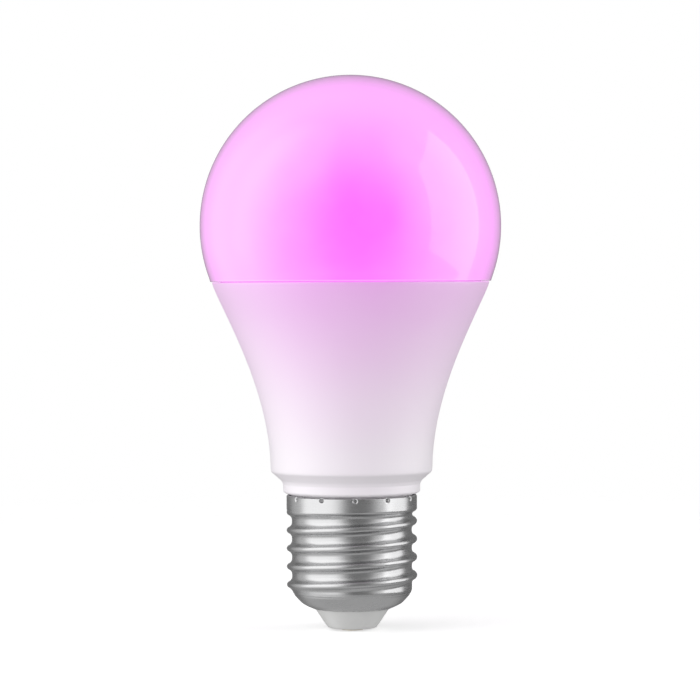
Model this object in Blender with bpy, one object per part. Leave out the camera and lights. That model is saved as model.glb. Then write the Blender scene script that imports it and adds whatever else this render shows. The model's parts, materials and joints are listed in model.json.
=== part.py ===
"""Smart light bulb, A60 shape on an E27 screw cap.

Frame: metres, +Z up. The origin is the centre of the centre contact's flat
face, and +Z runs along the bulb's axis from the cap to the top of the dome.
Every length below is in millimetres and is turned into metres when a mesh is
made.
"""

import math

import bmesh
import bpy
from mathutils import Matrix, Vector

MM = 0.001
TAU = 2.0 * math.pi

# ---------------------------------------------------------------- dimensions

# dome
DOME_R = 30.1
DOME_CENTRE_Z = 80.8
DOME_WALL = 1.2
JOINT_Z = 69.7
SKIRT_OUTER_R = 25.9
SKIRT_WALL = 0.95
SKIRT_DEPTH = 1.9

# housing: its flank is one cubic curve from the shoulder to the foot
SHOULDER_R, SHOULDER_Z, SHOULDER_LEAN, SHOULDER_PULL = 27.7, 69.5, 15.5, 4.5
FOOT_R, FOOT_Z, FOOT_LEAN, FOOT_PULL = 16.2, 33.0, 1.3, 16.3
HOUSING_WALL = 1.6
CORNER_Z = 30.0
RING_R = 13.7
RING_BOTTOM_Z = 27.4
NECK_UPPER_R = 12.1
NECK_R = 11.35
NECK_BORE_R = 10.2
NECK_BOTTOM_Z = 9.5
CAVITY_FLOOR_Z = 31.0

# E27 screw shell
PITCH = 3.629
CREST_R = 13.05
ROOT_R = 12.0
CREST_Z = 9.11          # height of the lowest full crest at 180 degrees
SHEET = 0.3
COLLAR_TOP_Z = 27.08
COLLAR_SHOULDER_Z = 24.42   # where the collar starts to curve in
BEAD_TOP = 0.65         # radius of a crest's round top
BEAD_FILLET = 1.10      # radius of the hollow between two crests
THREAD_LOW_Z = 7.4
THREAD_HIGH_Z = 23.3

# base insulator and centre contact
CONTACT_R = 2.3
CONTACT_H = 0.35
SHANK_R = 1.0
SHANK_TOP_Z = 5.2

# heat sink and light board
CUP_GAP = 0.25
CUP_WALL = 0.9
CUP_TOP_Z = 64.6
CUP_BOTTOM_Z = 33.0
FLANGE_INNER_R = 18.9
PAD_Z = 64.65
PAD_T = 0.35
BOARD_Z = 65.05
BOARD_T = 1.2
BOARD_R = 23.0
SCREW_RING_R = 21.0

# driver
SLEEVE_INNER_R = 12.6
SLEEVE_WALL = 0.5
DRIVER_T = 1.2
DRIVER_HALF_TOP = 11.8
DRIVER_HALF_NECK = 8.8
DRIVER_TOP_Z = 61.5
DRIVER_STEP_Z = 35.0
DRIVER_BOTTOM_Z = 13.0

SEG = 36                # round shells
SHELL_SEG = 32          # screw shell
SMALL = 16              # round components

# ------------------------------------------------------------------ materials

PALETTE = {
    "opal": ((0.96, 0.62, 0.95, 1.0), 0.30, 0.0),
    "white_plastic": ((0.86, 0.84, 0.87, 1.0), 0.38, 0.0),
    "nickel": ((0.62, 0.60, 0.57, 1.0), 0.32, 1.0),
    "insulator": ((0.72, 0.72, 0.71, 1.0), 0.45, 0.0),
    "brass": ((0.78, 0.62, 0.36, 1.0), 0.35, 1.0),
    "silicone": ((0.88, 0.88, 0.86, 1.0), 0.60, 0.0),
    "aluminium": ((0.70, 0.71, 0.72, 1.0), 0.42, 1.0),
    "thermal": ((0.66, 0.67, 0.70, 1.0), 0.70, 0.0),
    "white_mask": ((0.90, 0.90, 0.88, 1.0), 0.45, 0.0),
    "phosphor": ((0.93, 0.82, 0.32, 1.0), 0.50, 0.0),
    "led_clear": ((0.86, 0.86, 0.84, 1.0), 0.30, 0.0),
    "steel": ((0.66, 0.66, 0.66, 1.0), 0.35, 1.0),
    "green_mask": ((0.05, 0.30, 0.14, 1.0), 0.42, 0.0),
    "black_sleeve": ((0.06, 0.06, 0.07, 1.0), 0.45, 0.0),
    "ferrite": ((0.13, 0.13, 0.14, 1.0), 0.70, 0.0),
    "yellow_tape": ((0.86, 0.68, 0.12, 1.0), 0.40, 0.0),
    "copper": ((0.72, 0.36, 0.18, 1.0), 0.35, 1.0),
    "black_epoxy": ((0.05, 0.05, 0.05, 1.0), 0.50, 0.0),
    "resistor": ((0.42, 0.60, 0.52, 1.0), 0.50, 0.0),
    "film": ((0.60, 0.42, 0.10, 1.0), 0.40, 0.0),
    "disc_blue": ((0.10, 0.24, 0.52, 1.0), 0.45, 0.0),
    "blue_mask": ((0.05, 0.12, 0.36, 1.0), 0.42, 0.0),
    "gold": ((0.85, 0.66, 0.30, 1.0), 0.30, 1.0),
    "ceramic": ((0.88, 0.87, 0.83, 1.0), 0.45, 0.0),
    "red_wire": ((0.62, 0.08, 0.07, 1.0), 0.45, 0.0),
    "black_wire": ((0.07, 0.07, 0.08, 1.0), 0.45, 0.0),
}


def material(key):
    found = bpy.data.materials.get(key)
    if found:
        return found
    colour, rough, metal = PALETTE[key]
    mat = bpy.data.materials.new(key)
    mat.use_nodes = True
    shader = mat.node_tree.nodes["Principled BSDF"]
    shader.inputs["Base Color"].default_value = colour
    shader.inputs["Roughness"].default_value = rough
    shader.inputs["Metallic"].default_value = metal
    mat.diffuse_color = colour
    return mat


# -------------------------------------------------------------------- helpers

for old in list(bpy.data.objects):
    bpy.data.objects.remove(old, do_unlink=True)

bulb = bpy.data.objects.new("bulb", None)
bpy.context.scene.collection.objects.link(bulb)


def add(name, bm, key, place=None, smooth=40.0, cutter=False):
    """One object from a bmesh in millimetres."""
    bmesh.ops.recalc_face_normals(bm, faces=bm.faces[:])
    bmesh.ops.scale(bm, vec=(MM, MM, MM), verts=bm.verts[:])
    mesh = bpy.data.meshes.new(name)
    bm.to_mesh(mesh)
    bm.free()
    if smooth:
        mesh.shade_smooth()
        mesh.set_sharp_from_angle(angle=math.radians(smooth))
    obj = bpy.data.objects.new(name, mesh)
    bpy.context.scene.collection.objects.link(obj)
    if place:
        obj.location = Vector(place) * MM
    if cutter:
        obj.hide_render = True
        obj.display_type = "WIRE"
        obj.hide_set(True)
    else:
        mesh.materials.append(material(key))
        obj.parent = bulb
    return obj


def turned(profile, segments=SEG, around="Z"):
    """A closed profile of (radius, height) points spun round its axis."""
    bm = bmesh.new()
    points = [bm.verts.new((r, 0.0, z)) for r, z in profile]
    edges = [
        bm.edges.new((points[k], points[(k + 1) % len(points)]))
        for k in range(len(points))
        if profile[k][0] > 1e-6 or profile[(k + 1) % len(points)][0] > 1e-6
    ]
    bmesh.ops.spin(
        bm,
        geom=points + edges,
        cent=(0, 0, 0),
        axis=(0, 0, 1),
        angle=TAU,
        steps=segments,
        use_duplicate=False,
    )
    bmesh.ops.remove_doubles(bm, verts=bm.verts[:], dist=1e-4)
    if around == "Y":
        bmesh.ops.rotate(bm, cent=(0, 0, 0), matrix=Matrix.Rotation(math.pi / 2, 3, "X"), verts=bm.verts[:])
    if around == "X":
        bmesh.ops.rotate(bm, cent=(0, 0, 0), matrix=Matrix.Rotation(math.pi / 2, 3, "Y"), verts=bm.verts[:])
    return bm


def block(size, bevel=0.0, steps=1):
    """A rectangular block with rounded edges."""
    bm = bmesh.new()
    bmesh.ops.create_cube(bm, size=1.0)
    bmesh.ops.scale(bm, vec=size, verts=bm.verts[:])
    if bevel:
        bmesh.ops.bevel(bm, geom=bm.edges[:], offset=bevel, segments=steps, profile=0.5, affect="EDGES")
    return bm


def plate(outline, low, high):
    """A flat outline in X and Z, extruded along Y from low to high."""
    bm = bmesh.new()
    face = bm.faces.new([bm.verts.new((x, low, z)) for x, z in outline])
    grown = bmesh.ops.extrude_face_region(bm, geom=[face])
    moved = [v for v in grown["geom"] if isinstance(v, bmesh.types.BMVert)]
    bmesh.ops.translate(bm, vec=(0, high - low, 0), verts=moved)
    return bm


def cut(obj, cutter):
    """Takes the cutter's shape out of the object."""
    step = obj.modifiers.new("cut_" + cutter.name, "BOOLEAN")
    step.operation = "DIFFERENCE"
    step.solver = "EXACT"
    step.object = cutter


def hole(obj, name, radius, place, length, sides=12):
    bm = bmesh.new()
    bmesh.ops.create_cone(bm, cap_ends=True, segments=sides, radius1=radius, radius2=radius, depth=length)
    # turned a little, so that no corner of the hole falls on an edge of the piece
    bmesh.ops.rotate(bm, cent=(0, 0, 0), matrix=Matrix.Rotation(0.11, 3, "Z"), verts=bm.verts[:])
    cut(obj, add(name, bm, None, place, smooth=0, cutter=True))


def slot(obj, name, size, place):
    cut(obj, add(name, block(size), None, place, smooth=0, cutter=True))


def lead(name, points, radius, key, count=16):
    """An insulated wire along a smooth curve through the given points."""
    line = []
    n = len(points)
    for k in range(n - 1):
        a = Vector(points[max(k - 1, 0)])
        b = Vector(points[k])
        c = Vector(points[k + 1])
        d = Vector(points[min(k + 2, n - 1)])
        pieces = max(2, round(count / (n - 1)))
        for i in range(pieces):
            t = i / pieces
            line.append(
                0.5 * (2 * b + (c - a) * t + (2 * a - 5 * b + 4 * c - d) * t * t + (3 * b - a - 3 * c + d) * t ** 3)
            )
    line.append(Vector(points[-1]))
    curve = bpy.data.curves.new(name, "CURVE")
    curve.dimensions = "3D"
    curve.bevel_depth = radius * MM
    curve.bevel_resolution = 2
    curve.use_fill_caps = True
    spline = curve.splines.new("POLY")
    spline.points.add(len(line) - 1)
    for point, at in zip(spline.points, line):
        point.co = (at.x * MM, at.y * MM, at.z * MM, 1.0)
    obj = bpy.data.objects.new(name, curve)
    bpy.context.scene.collection.objects.link(obj)
    curve.materials.append(material(key))
    obj.parent = bulb
    return obj


def arc(cr, cz, radius, start, stop, steps):
    """Points (radius, height) on a circle in the profile plane, in degrees from +r."""
    found = []
    for k in range(steps + 1):
        a = math.radians(start + (stop - start) * k / steps)
        found.append((cr + radius * math.cos(a), cz + radius * math.sin(a)))
    return found


# -------------------------------------------------------------------- housing

def flank(t):
    """A point (radius, height) of the housing's flank, t from 0 at the shoulder to 1 at the foot."""
    lean_a, lean_b = math.radians(SHOULDER_LEAN), math.radians(FOOT_LEAN)
    p0 = (SHOULDER_R, SHOULDER_Z)
    p1 = (SHOULDER_R - SHOULDER_PULL * math.sin(lean_a), SHOULDER_Z - SHOULDER_PULL * math.cos(lean_a))
    p3 = (FOOT_R, FOOT_Z)
    p2 = (FOOT_R + FOOT_PULL * math.sin(lean_b), FOOT_Z + FOOT_PULL * math.cos(lean_b))
    s = 1.0 - t
    return tuple(
        s ** 3 * a + 3 * s * s * t * b + 3 * s * t * t * c + t ** 3 * d
        for a, b, c, d in zip(p0, p1, p2, p3)
    )


def flank_radius(z):
    """Radius of the housing's flank at height z."""
    low, high = 0.0, 1.0
    for _ in range(50):
        mid = (low + high) / 2
        if flank(mid)[1] > z:
            low = mid
        else:
            high = mid
    return flank(low)[0]


def inner_heights(top, bottom, steps):
    return [top + (bottom - top) * k / steps for k in range(steps + 1)]


outer = [flank(k / 10) for k in range(11)]
rim = [(SHOULDER_R - 0.3, SHOULDER_Z + 0.12)]
corner = [(16.15, 32.0), (15.8, 31.2), (15.0, 30.45), (14.2, CORNER_Z)]
ring = [(RING_R + 0.05, 29.5), (RING_R, 28.1), (RING_R - 0.3, RING_BOTTOM_Z + 0.05), (RING_R - 0.45, RING_BOTTOM_Z)]
neck = [
    (NECK_UPPER_R, RING_BOTTOM_Z),
    (NECK_UPPER_R, 23.9),
    (NECK_R, 23.3),
    (NECK_R, NECK_BOTTOM_Z + 0.4),
    (NECK_R - 0.3, NECK_BOTTOM_Z),
    (NECK_BORE_R, NECK_BOTTOM_Z),
    (NECK_BORE_R, CAVITY_FLOOR_Z),
]
inside = [(flank_radius(33.2) - HOUSING_WALL, CAVITY_FLOOR_Z)]
inside += [(flank_radius(z) - HOUSING_WALL, z) for z in inner_heights(33.2, 66.4, 7)]
pocket = [
    (SKIRT_OUTER_R + 0.05, 66.55),
    (SKIRT_OUTER_R + 0.2, 67.2),
    (SKIRT_OUTER_R + 0.35, SHOULDER_Z + 0.12),
]
housing = add("housing", turned(rim + outer + corner + ring + neck + inside + pocket), "white_plastic")

# ----------------------------------------------------------------------- dome

def dome_edge(radius, z):
    return math.degrees(math.asin((z - DOME_CENTRE_Z) / radius))


inner_r = DOME_R - DOME_WALL
SHELF_Z = JOINT_Z + 1.3
outer_line = arc(0, DOME_CENTRE_Z, DOME_R, dome_edge(DOME_R, JOINT_Z + 0.25), 0, 3)
outer_line += arc(0, DOME_CENTRE_Z, DOME_R, 0, 90, 11)[1:]
inner_line = arc(0, DOME_CENTRE_Z, inner_r, 90, dome_edge(inner_r, SHELF_Z), 12)
outer_line[-1] = (0.0, DOME_CENTRE_Z + DOME_R)
inner_line[0] = (0.0, DOME_CENTRE_Z + inner_r)
skirt_bottom = JOINT_Z - SKIRT_DEPTH
dome_profile = (
    [(SKIRT_OUTER_R, skirt_bottom), (SKIRT_OUTER_R + 0.15, JOINT_Z), (outer_line[0][0] - 0.35, JOINT_Z)]
    + outer_line
    + inner_line
    + [(SKIRT_OUTER_R - SKIRT_WALL, JOINT_Z + 0.3), (SKIRT_OUTER_R - SKIRT_WALL, skirt_bottom)]
)
add("diffuser", turned(dome_profile), "opal")

bead_r = 25.55
add(
    "sealant_bead",
    turned([(bead_r + 0.32 * math.cos(k * TAU / 6), 67.2 + 0.36 * math.sin(k * TAU / 6)) for k in range(6)], 28),
    "silicone",
)

# --------------------------------------------------------------- screw shell

def bead(x):
    """Height over the root at a distance x up or down from a crest: a round top that runs into a hollow."""
    x = abs(x)
    height = CREST_R - ROOT_R
    reach = BEAD_TOP + BEAD_FILLET
    drop = height - reach
    foot = math.sqrt(reach * reach - drop * drop)
    meet = foot * BEAD_TOP / reach
    if x <= meet:
        return height - BEAD_TOP + math.sqrt(BEAD_TOP ** 2 - x * x)
    if x < foot:
        return BEAD_FILLET - math.sqrt(BEAD_FILLET ** 2 - (foot - x) ** 2)
    return 0.0


def fade(x):
    x = min(1.0, max(0.0, x))
    return x * x * (3 - 2 * x)


def thread_height(angle, z):
    """How far the rolled thread stands above its root at one angle (radians) and height."""
    turns = (z - CREST_Z) / PITCH - (angle - math.pi) / TAU
    run_in = fade((turns_along(angle, z) + 0.55) / 0.5)
    return bead((turns - round(turns)) * PITCH) * run_in


def turns_along(angle, z):
    """Turns from the start of the full thread to the crest nearest this point."""
    turns = (z - CREST_Z) / PITCH - (angle - math.pi) / TAU
    return round(turns) + (angle - math.pi) / TAU


def shell_radius(angle, z):
    taper = ROOT_R - 0.25 * fade((8.2 - z) / 0.9)
    return taper + max(thread_height(angle, z), bead(min(0.0, z - COLLAR_SHOULDER_Z)))


CONE = [(11.35, 7.05), (10.9, 6.45), (9.9, 5.4), (8.8, 4.75), (7.95, 4.4), (7.75, 4.3)]
CONE_INNER = [(11.0, 7.2), (10.6, 6.65), (9.7, 5.72), (8.7, 5.1), (7.95, 4.75), (7.75, 4.65)]


def screw_shell_mesh(segments, per_pitch):
    """Level rings at both ends, and rows between them that follow the helix."""
    step = PITCH / per_pitch
    low = CREST_Z - step * math.floor((CREST_Z - THREAD_LOW_Z) / step)
    rows = int((THREAD_HIGH_Z - low) / step)
    bm = bmesh.new()

    def ring_of(radius_at, height_at):
        found = []
        for i in range(segments):
            angle = TAU * i / segments
            z = height_at(i)
            r = radius_at(angle, z)
            found.append(bm.verts.new((r * math.cos(angle), r * math.sin(angle), z)))
        return found

    # The rows start half a turn from the crest's zero angle, so the lattice is shifted to meet it.
    def rise(i):
        along = per_pitch * ((i / segments) - 0.5)
        return (along - math.floor(along)) * step

    def wrapped(i):
        return math.floor(per_pitch * ((i + 1) / segments - 0.5)) - math.floor(per_pitch * (i / segments - 0.5))

    top = [(CREST_R, z) for z in (COLLAR_TOP_Z, 25.7, COLLAR_SHOULDER_Z)]
    rings, kinds = [], []

    def surface(offset):
        made = []
        for r, z in top:
            made.append((ring_of(lambda a, h, r=r: r - offset, lambda i, z=z: z), False))
        for z in (COLLAR_SHOULDER_Z - 0.4, COLLAR_SHOULDER_Z - 0.75):
            made.append((ring_of(lambda a, h: shell_radius(a, h) - offset, lambda i, z=z: z), False))
        for j in range(rows - 1, 0, -1):
            made.append((ring_of(lambda a, h: shell_radius(a, h) - offset, lambda i, j=j: low + j * step + rise(i)), True))
        made.append((ring_of(lambda a, h: shell_radius(a, h) - offset, lambda i: THREAD_LOW_Z), False))
        return made

    outside = surface(0.0)
    inside = surface(SHEET + 0.05)
    for r, z in CONE:
        outside.append((ring_of(lambda a, h, r=r: r, lambda i, z=z: z), False))
    for r, z in CONE_INNER:
        inside.append((ring_of(lambda a, h, r=r: r, lambda i, z=z: z), False))

    def skin(made, flip):
        for (upper, helix_u), (lower, helix_l) in zip(made, made[1:]):
            for i in range(segments):
                k = (i + 1) % segments
                a, b, c, d = upper[i], upper[k], lower[k], lower[i]
                # where the rows step by one, the crest runs from the lower row up to the next
                if helix_u and helix_l and wrapped(i):
                    faces = [(a, d, b), (b, d, c)]
                else:
                    faces = [(a, d, c), (a, c, b)] if not flip else [(a, d, c), (a, c, b)]
                for f in faces:
                    bm.faces.new(f if not flip else f[::-1])

    skin(outside, False)
    skin(inside, True)
    for one, other in ((outside[0][0], inside[0][0]), (inside[-1][0], outside[-1][0])):
        for i in range(segments):
            k = (i + 1) % segments
            bm.faces.new((one[i], one[k], other[k], other[i]))
    return bm


add("screw_shell", screw_shell_mesh(SHELL_SEG, 5), "nickel", smooth=70)

# ------------------------------------------------- insulator and its contact

insulator = [
    (1.25, 0.4),
    (4.2, 0.4),
    (4.9, 0.58),
    (5.3, 1.05),
    (7.45, 4.3),
    (7.45, 4.95),
    (8.9, 5.75),
    (9.0, 6.5),
    (8.6, 7.0),
    (1.25, 7.0),
]
add("base_insulator", turned(insulator, 28), "insulator")
contact = [
    (0.0, 0.0),
    (CONTACT_R - 0.25, 0.0),
    (CONTACT_R, 0.15),
    (CONTACT_R, CONTACT_H),
    (SHANK_R, CONTACT_H),
    (SHANK_R, SHANK_TOP_Z),
    (0.0, SHANK_TOP_Z),
]
add("centre_contact", turned(contact, 24), "brass")

# ----------------------------------------------------- heat sink, light board

cup_out = [(flank_radius(z) - HOUSING_WALL - CUP_GAP, z) for z in inner_heights(CUP_TOP_Z - 0.6, CUP_BOTTOM_Z, 6)]
cup_in = [(r - CUP_WALL, z) for r, z in cup_out[::-1]]
cup_in[-1] = (cup_in[-1][0], CUP_TOP_Z - CUP_WALL)
cup_rim = [(FLANGE_INNER_R, CUP_TOP_Z - CUP_WALL), (FLANGE_INNER_R, CUP_TOP_Z), (cup_out[0][0] - 0.6, CUP_TOP_Z)]
heat_sink = add("heat_sink_cup", turned(cup_rim + cup_out + cup_in, 28), "aluminium")
pad = add(
    "thermal_pad",
    turned([(FLANGE_INNER_R, PAD_Z), (BOARD_R - 0.2, PAD_Z), (BOARD_R - 0.2, PAD_Z + PAD_T), (FLANGE_INNER_R, PAD_Z + PAD_T)], 28),
    "thermal",
)
board_disc = bmesh.new()
bmesh.ops.create_cone(board_disc, cap_ends=True, segments=48, radius1=BOARD_R, radius2=BOARD_R, depth=BOARD_T)
led_board = add("led_board", board_disc, "white_mask", (0, 0, BOARD_Z + BOARD_T / 2))
BOARD_TOP = BOARD_Z + BOARD_T

for number, side in enumerate((1, -1), 1):
    at = (0, side * SCREW_RING_R, BOARD_Z)
    hole(led_board, f"board_hole_{number}", 1.15, at, 4)
    hole(pad, f"pad_hole_{number}", 1.2, at, 4)
    hole(heat_sink, f"cup_hole_{number}", 1.05, (0, side * SCREW_RING_R, 64.2), 3)
    screw = [
        (0.0, 62.6),
        (0.75, 62.6),
        (0.95, 62.9),
        (0.95, BOARD_TOP + 0.05),
        (1.9, BOARD_TOP + 0.05),
        (1.85, BOARD_TOP + 0.75),
        (1.2, BOARD_TOP + 1.2),
        (0.0, BOARD_TOP + 1.25),
    ]
    made = add(f"board_screw_{number}", turned(screw, 12), "steel", (0, side * SCREW_RING_R, 0))
    slot(made, f"cross_a_{number}", (2.0, 0.45, 1.0), (0, side * SCREW_RING_R, BOARD_TOP + 1.25))
    slot(made, f"cross_b_{number}", (0.45, 2.0, 1.0), (0, side * SCREW_RING_R, BOARD_TOP + 1.25))


def led_body(size, cup_inset, cup_depth):
    """A surface-mount light package: a block with a sunk emitting face."""
    bm = block(size)
    top = max(bm.faces, key=lambda f: f.calc_center_median().z)
    bmesh.ops.inset_individual(bm, faces=[top], thickness=cup_inset)
    bmesh.ops.translate(bm, vec=(0, 0, -cup_depth), verts=top.verts[:])
    return bm


WHITE_SIZE = (3.5, 2.8, 0.7)
for k in range(12):
    angle = TAU * (k + 0.5) / 12
    bm = led_body(WHITE_SIZE, 0.4, 0.15)
    bmesh.ops.rotate(bm, cent=(0, 0, 0), matrix=Matrix.Rotation(angle + math.pi / 2, 3, "Z"), verts=bm.verts[:])
    add(
        f"white_led_{k + 1:02d}",
        bm,
        "phosphor",
        (17.0 * math.cos(angle), 17.0 * math.sin(angle), BOARD_TOP + 0.05 + WHITE_SIZE[2] / 2),
        smooth=0,
    )
COLOUR_SIZE = (3.8, 3.8, 0.9)
for k in range(4):
    angle = TAU * (k + 0.5) / 4
    bm = led_body(COLOUR_SIZE, 0.5, 0.2)
    bmesh.ops.rotate(bm, cent=(0, 0, 0), matrix=Matrix.Rotation(angle, 3, "Z"), verts=bm.verts[:])
    add(
        f"colour_led_{k + 1}",
        bm,
        "led_clear",
        (10.5 * math.cos(angle), 10.5 * math.sin(angle), BOARD_TOP + 0.05 + COLOUR_SIZE[2] / 2),
        smooth=0,
    )

# --------------------------------------------------------------------- driver

add(
    "driver_sleeve",
    turned(
        [
            (SLEEVE_INNER_R + SLEEVE_WALL, CAVITY_FLOOR_Z + 0.4),
            (SLEEVE_INNER_R + SLEEVE_WALL, 60.0),
            (SLEEVE_INNER_R, 60.0),
            (SLEEVE_INNER_R, CAVITY_FLOOR_Z + 0.4),
        ],
        28,
    ),
    "black_sleeve",
)

half = DRIVER_T / 2
driver_outline = [
    (-DRIVER_HALF_NECK, DRIVER_BOTTOM_Z),
    (DRIVER_HALF_NECK, DRIVER_BOTTOM_Z),
    (DRIVER_HALF_NECK, DRIVER_STEP_Z),
    (DRIVER_HALF_TOP, DRIVER_STEP_Z + 2),
    (DRIVER_HALF_TOP, DRIVER_TOP_Z),
    (-DRIVER_HALF_TOP, DRIVER_TOP_Z),
    (-DRIVER_HALF_TOP, DRIVER_STEP_Z + 2),
    (-DRIVER_HALF_NECK, DRIVER_STEP_Z),
]
add("driver_board", plate(driver_outline, -half, half), "green_mask", smooth=0)
BACK, FRONT = half + 0.05, -half - 0.05


def can(name, radius, height, x, y, z):
    """An aluminium-can electrolytic capacitor with its crimp groove and scored top."""
    line = [
        (0.0, 0.0),
        (radius - 0.4, 0.0),
        (radius, 0.35),
        (radius, 1.6),
        (radius - 0.35, 2.0),
        (radius, 2.4),
        (radius, height - 0.5),
        (radius - 0.5, height),
        (radius * 0.72, height),
        (radius * 0.72, height - 0.2),
        (0.0, height - 0.2),
    ]
    return add(name, turned(line, SMALL), "black_sleeve", (x, y, z))


can("bulk_capacitor", 4.0, 16.0, -3.6, FRONT - 4.0, 38.0)
can("output_capacitor", 3.15, 11.0, 5.2, FRONT - 3.15, 38.5)

# transformer: a core with two windows and a winding on its centre leg
CORE_X, CORE_Y, CORE_Z = 12.0, 4.6, 11.5
core_y = BACK + 5.2
core = add("transformer_core", block((CORE_X, CORE_Y, CORE_Z)), "ferrite", (0, core_y, 42.5), smooth=0)
for number, side in enumerate((1, -1), 1):
    slot(core, f"core_window_{number}", (2.9, 8.0, 7.4), (side * 2.95, core_y, 42.5))


def rounded_tube(outer_x, outer_y, inner_x, inner_y, height, corner_r, per_corner=3):
    """A tube of rounded-rectangle section with a rectangular hole, standing along Z."""
    def loop(hx, hy, rad):
        found = []
        for cx, cy, start in ((hx - rad, hy - rad, 0), (rad - hx, hy - rad, 90), (rad - hx, rad - hy, 180), (hx - rad, rad - hy, 270)):
            for k in range(per_corner + 1):
                a = math.radians(start + 90 * k / per_corner)
                found.append((cx + rad * math.cos(a), cy + rad * math.sin(a)))
        return found

    bm = bmesh.new()
    rings = []
    for hx, hy, rad, z in (
        (outer_x, outer_y, corner_r, -height / 2),
        (outer_x, outer_y, corner_r, height / 2),
        (inner_x, inner_y, 0.2, height / 2),
        (inner_x, inner_y, 0.2, -height / 2),
    ):
        rings.append([bm.verts.new((x, y, z)) for x, y in loop(hx, hy, rad)])
    count = len(rings[0])
    for one, other in zip(rings, rings[1:] + rings[:1]):
        for i in range(count):
            k = (i + 1) % count
            bm.faces.new((one[i], one[k], other[k], other[i]))
    return bm


add(
    "transformer_winding",
    rounded_tube(4.1, 4.9, 1.75, 2.6, 7.0, 1.6),
    "yellow_tape",
    (0, core_y, 42.5),
)

choke = [
    (0.0, 0.0),
    (3.0, 0.0),
    (3.0, 1.0),
    (2.5, 1.2),
    (2.65, 1.9),
    (2.65, 6.1),
    (2.5, 6.8),
    (3.0, 7.0),
    (3.0, 8.0),
    (0.0, 8.0),
]
add("filter_choke", turned(choke, SMALL), "copper", (-3.4, BACK + 3.0, 21.5))
add("bridge_rectifier", block((4.7, 1.5, 3.9), 0.2), "black_epoxy", (4.2, BACK + 0.75, 19.0), smooth=0)
add("driver_chip", block((4.9, 1.5, 3.9), 0.2), "black_epoxy", (8.2, FRONT - 0.75, 55.5), smooth=0)
add("colour_chip", block((4.9, 1.5, 3.9), 0.2), "black_epoxy", (-8.2, FRONT - 0.75, 58.0), smooth=0)
resistor = [(0.0, -4.0), (0.4, -4.0), (1.3, -3.6), (1.5, -3.2), (1.4, -2.4), (1.4, 2.4), (1.5, 3.2), (1.3, 3.6), (0.4, 4.0), (0.0, 4.0)]
add("fuse_resistor", turned(resistor, 12), "resistor", (-5.4, FRONT - 1.5, 19.5))
add("film_capacitor", block((7.0, 3.6, 7.0), 0.5), "film", (3.6, FRONT - 1.8, 28.0), smooth=0)
disc = [(0.0, -1.6), (2.6, -1.6), (3.3, -1.1), (3.5, 0.0), (3.3, 1.1), (2.6, 1.6), (0.0, 1.6)]
add("varistor", turned(disc, SMALL, "Y"), "disc_blue", (2.6, FRONT - 1.65, 19.0))

# header that feeds the light board
PIN_Y = FRONT - 1.3
header = add("header_block", block((8.4, 2.5, 2.5)), "black_epoxy", (0, PIN_Y, 59.9), smooth=0)
for k in range(4):
    x = -3.0 + 2.0 * k
    slot(header, f"header_way_{k + 1}", (0.9, 0.9, 4.0), (x, PIN_Y, 59.9))
    hole(led_board, f"board_way_{k + 1}", 0.55, (x, PIN_Y, BOARD_Z), 4, 8)
    add(f"header_pin_{k + 1}", block((0.6, 0.6, 9.6)), "gold", (x, PIN_Y, 62.6), smooth=0)

# radio board, which stands up through the light board
RADIO_T = 0.8
radio_y = BACK + RADIO_T / 2 + 0.05
slot(led_board, "radio_slot", (14.0, RADIO_T + 0.8, 4.0), (0, radio_y, BOARD_Z))
add("radio_board", block((13.0, RADIO_T, 21.5)), "blue_mask", (0, radio_y, 62.0), smooth=0)
face_y = radio_y + RADIO_T / 2 + 0.05
add("radio_shield", block((10.5, 1.8, 9.5), 0.35), "steel", (0, face_y + 0.9, 58.6), smooth=0)
add("radio_antenna", block((7.0, 1.1, 2.0), 0.15), "ceramic", (0, face_y + 0.55, 70.6), smooth=0)

# ---------------------------------------------------------------------- leads

lead(
    "live_lead",
    [(-1.6, FRONT - 0.5, 14.8), (-1.6, FRONT - 0.5, 11.6), (-0.8, -0.6, 8.6), (0.0, 0.0, 6.6), (0.0, 0.0, 5.3)],
    0.42,
    "red_wire",
    12,
)
lead(
    "neutral_lead",
    [(7.4, FRONT - 0.5, 14.8), (7.6, FRONT - 0.5, 12.0), (8.5, -0.7, 9.4), (10.2, -0.2, 8.3), (10.6, 1.6, 8.1)],
    0.42,
    "black_wire",
    12,
)
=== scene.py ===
"""Smart light bulb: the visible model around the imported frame.

Lengths in this file are in millimetres until a mesh is written, and the frame is
the CAD's: the origin is the centre contact's face and +Z is the bulb's axis.
"""

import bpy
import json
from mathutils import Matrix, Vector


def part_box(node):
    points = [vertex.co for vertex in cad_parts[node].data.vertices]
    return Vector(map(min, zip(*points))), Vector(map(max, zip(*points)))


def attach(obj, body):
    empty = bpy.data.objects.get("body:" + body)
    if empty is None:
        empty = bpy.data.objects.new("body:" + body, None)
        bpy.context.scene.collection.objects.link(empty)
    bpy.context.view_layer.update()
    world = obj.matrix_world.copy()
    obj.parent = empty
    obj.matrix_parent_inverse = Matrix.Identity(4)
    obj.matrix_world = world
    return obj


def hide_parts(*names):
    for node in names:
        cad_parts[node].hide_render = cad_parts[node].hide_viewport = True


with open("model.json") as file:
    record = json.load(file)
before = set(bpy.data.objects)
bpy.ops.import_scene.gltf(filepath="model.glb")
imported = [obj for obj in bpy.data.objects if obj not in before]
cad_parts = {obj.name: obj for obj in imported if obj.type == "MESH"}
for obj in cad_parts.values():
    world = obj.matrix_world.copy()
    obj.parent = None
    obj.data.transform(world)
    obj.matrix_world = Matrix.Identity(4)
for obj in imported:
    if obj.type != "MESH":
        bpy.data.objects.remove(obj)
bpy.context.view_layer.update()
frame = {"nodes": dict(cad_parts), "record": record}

import json
import math

import bmesh
import bpy
import numpy as np
from mathutils import Matrix, Vector

MM = 0.001
TAU = 2.0 * math.pi
scene = bpy.context.scene
nodes = frame["nodes"]


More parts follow.
